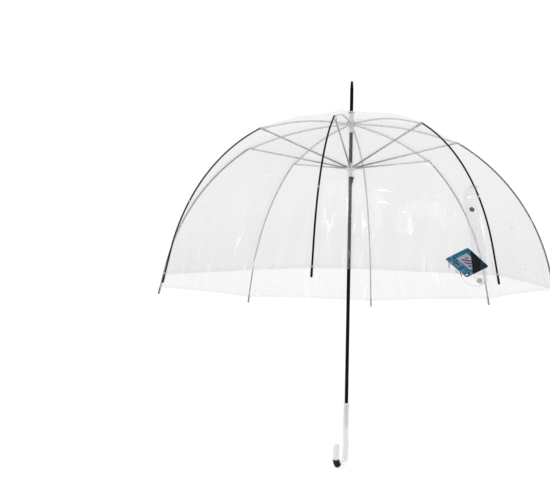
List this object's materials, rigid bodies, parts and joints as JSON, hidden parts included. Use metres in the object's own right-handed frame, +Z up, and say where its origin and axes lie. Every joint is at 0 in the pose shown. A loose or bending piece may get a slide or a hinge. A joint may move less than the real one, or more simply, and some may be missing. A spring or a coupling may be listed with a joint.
{
  "type": "umbrella",
  "caption": "Clear bubble umbrella, shown open: deep eight-gore film dome, bowed black ribs, slim black shaft with sliding runner, clear crook handle and closing strap.",
  "frame": {"origin": "middle of the grip, on the shaft axis, 50 mm below the top rim of the handle", "axes": "+Z up along the shaft towards the ferrule; the crook opens towards -Y"},
  "size_m": [0.8196, 0.8196, 0.8307],
  "materials": {
    "black_metal": "gloss",
    "black_plastic": "satin",
    "clear_plastic": "gloss",
    "label": "gloss",
    "white_plastic": "satin",
    "wire": "satin",
    "film": "gloss",
    "rib_steel": "satin",
    "rod": "satin",
    "snap_metal": "satin",
    "card": "satin",
    "loop": "satin"
  },
  "bodies": {
    "shaft_and_canopy": {"shaft": "black_metal", "ferrule": "black_plastic", "crown_washer": "white_plastic", "top_notch": "white_plastic", "notch_wire": "wire", "notch_pin": "wire", "handle": "clear_plastic", "handle_label": "label", "closing_strap": "film", "snap_stud": "snap_metal", "snap_socket": "snap_metal", "swing_tag": "card", "tag_loop": "loop", "gore_1": "film", "gore_2": "film", "gore_3": "film", "gore_4": "film", "gore_5": "film", "gore_6": "film", "gore_7": "film", "gore_8": "film"},
    "rib_1_channel_body": {"rib_1_channel": "rib_steel"},
    "rib_1_upper_body": {"rib_1_rod_upper": "rod"},
    "rib_1_lower_body": {"rib_1_rod_lower": "rod"},
    "stretcher_1_body": {"stretcher_1": "rib_steel"},
    "rib_2_channel_body": {"rib_2_channel": "rib_steel"},
    "rib_2_upper_body": {"rib_2_rod_upper": "rod"},
    "rib_2_lower_body": {"rib_2_rod_lower": "rod"},
    "stretcher_2_body": {"stretcher_2": "rib_steel"},
    "rib_3_channel_body": {"rib_3_channel": "rib_steel"},
    "rib_3_upper_body": {"rib_3_rod_upper": "rod"},
    "rib_3_lower_body": {"rib_3_rod_lower": "rod"},
    "stretcher_3_body": {"stretcher_3": "rib_steel"},
    "rib_4_channel_body": {"rib_4_channel": "rib_steel"},
    "rib_4_upper_body": {"rib_4_rod_upper": "rod"},
    "rib_4_lower_body": {"rib_4_rod_lower": "rod"},
    "stretcher_4_body": {"stretcher_4": "rib_steel"},
    "rib_5_channel_body": {"rib_5_channel": "rib_steel"},
    "rib_5_upper_body": {"rib_5_rod_upper": "rod"},
    "rib_5_lower_body": {"rib_5_rod_lower": "rod"},
    "stretcher_5_body": {"stretcher_5": "rib_steel"},
    "rib_6_channel_body": {"rib_6_channel": "rib_steel"},
    "rib_6_upper_body": {"rib_6_rod_upper": "rod"},
    "rib_6_lower_body": {"rib_6_rod_lower": "rod"},
    "stretcher_6_body": {"stretcher_6": "rib_steel"},
    "rib_7_channel_body": {"rib_7_channel": "rib_steel"},
    "rib_7_upper_body": {"rib_7_rod_upper": "rod"},
    "rib_7_lower_body": {"rib_7_rod_lower": "rod"},
    "stretcher_7_body": {"stretcher_7": "rib_steel"},
    "rib_8_channel_body": {"rib_8_channel": "rib_steel"},
    "rib_8_upper_body": {"rib_8_rod_upper": "rod"},
    "rib_8_lower_body": {"rib_8_rod_lower": "rod"},
    "stretcher_8_body": {"stretcher_8": "rib_steel"},
    "runner_body": {"runner": "white_plastic", "runner_wire": "wire"},
    "catch_body": {"catch_spring": "black_plastic"}
  },
  "joints": [
    {"name": "fold", "type": "hinge", "parent": "shaft_and_canopy", "child": "rib_1_channel_body", "pos_m": [0.00263, -0.00861, 0.65], "axis": [0.9563, 0.2924, 0], "range_deg": [0, 75.7], "deforming": ["catch_spring"]},
    {"name": "stretcher_1_hinge", "type": "hinge", "parent": "rib_1_channel_body", "child": "stretcher_1_body", "pos_m": [0.066, -0.21587, 0.60195], "axis": [0.9563, 0.2924, 0], "range_deg": [-151.9, 0]},
    {"name": "rib_1_upper_hinge", "type": "hinge", "parent": "rib_1_channel_body", "child": "rib_1_upper_body", "pos_m": [0.066, -0.21587, 0.60195], "axis": [0.9563, 0.2924, 0], "range_deg": [-30.9, 0]},
    {"name": "rib_1_lower_hinge", "type": "hinge", "parent": "rib_1_upper_body", "child": "rib_1_lower_body", "pos_m": [0.10273, -0.33601, 0.48063], "axis": [0.9563, 0.2924, 0], "range_deg": [-27, 0]},
    {"name": "rib_2_hinge", "type": "hinge", "parent": "shaft_and_canopy", "child": "rib_2_channel_body", "pos_m": [0.00795, -0.00422, 0.65], "axis": [0.4695, 0.8829, 0], "range_deg": [-0.5, 76.2]},
    {"name": "stretcher_2_hinge", "type": "hinge", "parent": "rib_2_channel_body", "child": "stretcher_2_body", "pos_m": [0.19931, -0.10598, 0.60195], "axis": [0.4695, 0.8829, 0], "range_deg": [-151.9, 0]},
    {"name": "rib_2_upper_hinge", "type": "hinge", "parent": "rib_2_channel_body", "child": "rib_2_upper_body", "pos_m": [0.19931, -0.10598, 0.60195], "axis": [0.4695, 0.8829, 0], "range_deg": [-30.9, 0]},
    {"name": "rib_2_lower_hinge", "type": "hinge", "parent": "rib_2_upper_body", "child": "rib_2_lower_body", "pos_m": [0.31024, -0.16496, 0.48063], "axis": [0.4695, 0.8829, 0], "range_deg": [-27, 0]},
    {"name": "rib_3_hinge", "type": "hinge", "parent": "shaft_and_canopy", "child": "rib_3_channel_body", "pos_m": [0.00861, 0.00263, 0.65], "axis": [-0.2924, 0.9563, 0], "range_deg": [-0.5, 76.2]},
    {"name": "stretcher_3_hinge", "type": "hinge", "parent": "rib_3_channel_body", "child": "stretcher_3_body", "pos_m": [0.21587, 0.066, 0.60195], "axis": [-0.2924, 0.9563, 0], "range_deg": [-151.9, 0]},
    {"name": "rib_3_upper_hinge", "type": "hinge", "parent": "rib_3_channel_body", "child": "rib_3_upper_body", "pos_m": [0.21587, 0.066, 0.60195], "axis": [-0.2924, 0.9563, 0], "range_deg": [-30.9, 0]},
    {"name": "rib_3_lower_hinge", "type": "hinge", "parent": "rib_3_upper_body", "child": "rib_3_lower_body", "pos_m": [0.33601, 0.10273, 0.48063], "axis": [-0.2924, 0.9563, 0], "range_deg": [-27, 0]},
    {"name": "rib_4_hinge", "type": "hinge", "parent": "shaft_and_canopy", "child": "rib_4_channel_body", "pos_m": [0.00422, 0.00795, 0.65], "axis": [-0.8829, 0.4695, 0], "range_deg": [-0.5, 76.2]},
    {"name": "stretcher_4_hinge", "type": "hinge", "parent": "rib_4_channel_body", "child": "stretcher_4_body", "pos_m": [0.10598, 0.19931, 0.60195], "axis": [-0.8829, 0.4695, 0], "range_deg": [-151.9, 0]},
    {"name": "rib_4_upper_hinge", "type": "hinge", "parent": "rib_4_channel_body", "child": "rib_4_upper_body", "pos_m": [0.10598, 0.19931, 0.60195], "axis": [-0.8829, 0.4695, 0], "range_deg": [-30.9, 0]},
    {"name": "rib_4_lower_hinge", "type": "hinge", "parent": "rib_4_upper_body", "child": "rib_4_lower_body", "pos_m": [0.16496, 0.31024, 0.48063], "axis": [-0.8829, 0.4695, 0], "range_deg": [-27, 0]},
    {"name": "rib_5_hinge", "type": "hinge", "parent": "shaft_and_canopy", "child": "rib_5_channel_body", "pos_m": [-0.00263, 0.00861, 0.65], "axis": [-0.9563, -0.2924, 0], "range_deg": [-0.5, 76.2]},
    {"name": "stretcher_5_hinge", "type": "hinge", "parent": "rib_5_channel_body", "child": "stretcher_5_body", "pos_m": [-0.066, 0.21587, 0.60195], "axis": [-0.9563, -0.2924, 0], "range_deg": [-151.9, 0]},
    {"name": "rib_5_upper_hinge", "type": "hinge", "parent": "rib_5_channel_body", "child": "rib_5_upper_body", "pos_m": [-0.066, 0.21587, 0.60195], "axis": [-0.9563, -0.2924, 0], "range_deg": [-30.9, 0]},
    {"name": "rib_5_lower_hinge", "type": "hinge", "parent": "rib_5_upper_body", "child": "rib_5_lower_body", "pos_m": [-0.10273, 0.33601, 0.48063], "axis": [-0.9563, -0.2924, 0], "range_deg": [-27, 0]},
    {"name": "rib_6_hinge", "type": "hinge", "parent": "shaft_and_canopy", "child": "rib_6_channel_body", "pos_m": [-0.00795, 0.00422, 0.65], "axis": [-0.4695, -0.8829, 0], "range_deg": [-0.5, 76.2]},
    {"name": "stretcher_6_hinge", "type": "hinge", "parent": "rib_6_channel_body", "child": "stretcher_6_body", "pos_m": [-0.19931, 0.10598, 0.60195], "axis": [-0.4695, -0.8829, 0], "range_deg": [-151.9, 0]},
    {"name": "rib_6_upper_hinge", "type": "hinge", "parent": "rib_6_channel_body", "child": "rib_6_upper_body", "pos_m": [-0.19931, 0.10598, 0.60195], "axis": [-0.4695, -0.8829, 0], "range_deg": [-30.9, 0]},
    {"name": "rib_6_lower_hinge", "type": "hinge", "parent": "rib_6_upper_body", "child": "rib_6_lower_body", "pos_m": [-0.31024, 0.16496, 0.48063], "axis": [-0.4695, -0.8829, 0], "range_deg": [-27, 0]},
    {"name": "rib_7_hinge", "type": "hinge", "parent": "shaft_and_canopy", "child": "rib_7_channel_body", "pos_m": [-0.00861, -0.00263, 0.65], "axis": [0.2924, -0.9563, 0], "range_deg": [-0.5, 76.2]},
    {"name": "stretcher_7_hinge", "type": "hinge", "parent": "rib_7_channel_body", "child": "stretcher_7_body", "pos_m": [-0.21587, -0.066, 0.60195], "axis": [0.2924, -0.9563, 0], "range_deg": [-151.9, 0]},
    {"name": "rib_7_upper_hinge", "type": "hinge", "parent": "rib_7_channel_body", "child": "rib_7_upper_body", "pos_m": [-0.21587, -0.066, 0.60195], "axis": [0.2924, -0.9563, 0], "range_deg": [-30.9, 0]},
    {"name": "rib_7_lower_hinge", "type": "hinge", "parent": "rib_7_upper_body", "child": "rib_7_lower_body", "pos_m": [-0.33601, -0.10273, 0.48063], "axis": [0.2924, -0.9563, 0], "range_deg": [-27, 0]},
    {"name": "rib_8_hinge", "type": "hinge", "parent": "shaft_and_canopy", "child": "rib_8_channel_body", "pos_m": [-0.00422, -0.00795, 0.65], "axis": [0.8829, -0.4695, 0], "range_deg": [-0.5, 76.2]},
    {"name": "stretcher_8_hinge", "type": "hinge", "parent": "rib_8_channel_body", "child": "stretcher_8_body", "pos_m": [-0.10598, -0.19931, 0.60195], "axis": [0.8829, -0.4695, 0], "range_deg": [-151.9, 0]},
    {"name": "rib_8_upper_hinge", "type": "hinge", "parent": "rib_8_channel_body", "child": "rib_8_upper_body", "pos_m": [-0.10598, -0.19931, 0.60195], "axis": [0.8829, -0.4695, 0], "range_deg": [-30.9, 0]},
    {"name": "rib_8_lower_hinge", "type": "hinge", "parent": "rib_8_upper_body", "child": "rib_8_lower_body", "pos_m": [-0.16496, -0.31024, 0.48063], "axis": [0.8829, -0.4695, 0], "range_deg": [-27, 0]},
    {"name": "runner_hinge", "type": "hinge", "parent": "stretcher_1_body", "child": "runner_body", "pos_m": [0.00263, -0.00861, 0.5539], "axis": [0.9563, 0.2924, 0], "range_deg": [0, 76.2]},
    {"name": "catch_press", "type": "hinge", "parent": "shaft_and_canopy", "child": "catch_body", "pos_m": [0.0019, 0, 0.5111], "axis": [0, -1, 0], "range_deg": [0, 12], "stiffness_Nm_per_rad": 0.05, "springref_deg": -8.59}
  ],
  "couplings": [
    {"joint": "stretcher_1_hinge", "follows": "fold", "ratio": -2},
    {"joint": "rib_1_upper_hinge", "follows": "fold", "ratio": -0.401},
    {"joint": "rib_1_lower_hinge", "follows": "fold", "ratio": -0.3504},
    {"joint": "rib_2_hinge", "follows": "fold", "ratio": 1},
    {"joint": "stretcher_2_hinge", "follows": "fold", "ratio": -2},
    {"joint": "rib_2_upper_hinge", "follows": "fold", "ratio": -0.401},
    {"joint": "rib_2_lower_hinge", "follows": "fold", "ratio": -0.3504},
    {"joint": "rib_3_hinge", "follows": "fold", "ratio": 1},
    {"joint": "stretcher_3_hinge", "follows": "fold", "ratio": -2},
    {"joint": "rib_3_upper_hinge", "follows": "fold", "ratio": -0.401},
    {"joint": "rib_3_lower_hinge", "follows": "fold", "ratio": -0.3504},
    {"joint": "rib_4_hinge", "follows": "fold", "ratio": 1},
    {"joint": "stretcher_4_hinge", "follows": "fold", "ratio": -2},
    {"joint": "rib_4_upper_hinge", "follows": "fold", "ratio": -0.401},
    {"joint": "rib_4_lower_hinge", "follows": "fold", "ratio": -0.3504},
    {"joint": "rib_5_hinge", "follows": "fold", "ratio": 1},
    {"joint": "stretcher_5_hinge", "follows": "fold", "ratio": -2},
    {"joint": "rib_5_upper_hinge", "follows": "fold", "ratio": -0.401},
    {"joint": "rib_5_lower_hinge", "follows": "fold", "ratio": -0.3504},
    {"joint": "rib_6_hinge", "follows": "fold", "ratio": 1},
    {"joint": "stretcher_6_hinge", "follows": "fold", "ratio": -2},
    {"joint": "rib_6_upper_hinge", "follows": "fold", "ratio": -0.401},
    {"joint": "rib_6_lower_hinge", "follows": "fold", "ratio": -0.3504},
    {"joint": "rib_7_hinge", "follows": "fold", "ratio": 1},
    {"joint": "stretcher_7_hinge", "follows": "fold", "ratio": -2},
    {"joint": "rib_7_upper_hinge", "follows": "fold", "ratio": -0.401},
    {"joint": "rib_7_lower_hinge", "follows": "fold", "ratio": -0.3504},
    {"joint": "rib_8_hinge", "follows": "fold", "ratio": 1},
    {"joint": "stretcher_8_hinge", "follows": "fold", "ratio": -2},
    {"joint": "rib_8_upper_hinge", "follows": "fold", "ratio": -0.401},
    {"joint": "rib_8_lower_hinge", "follows": "fold", "ratio": -0.3504},
    {"joint": "runner_hinge", "follows": "fold", "ratio": 1}
  ]
}
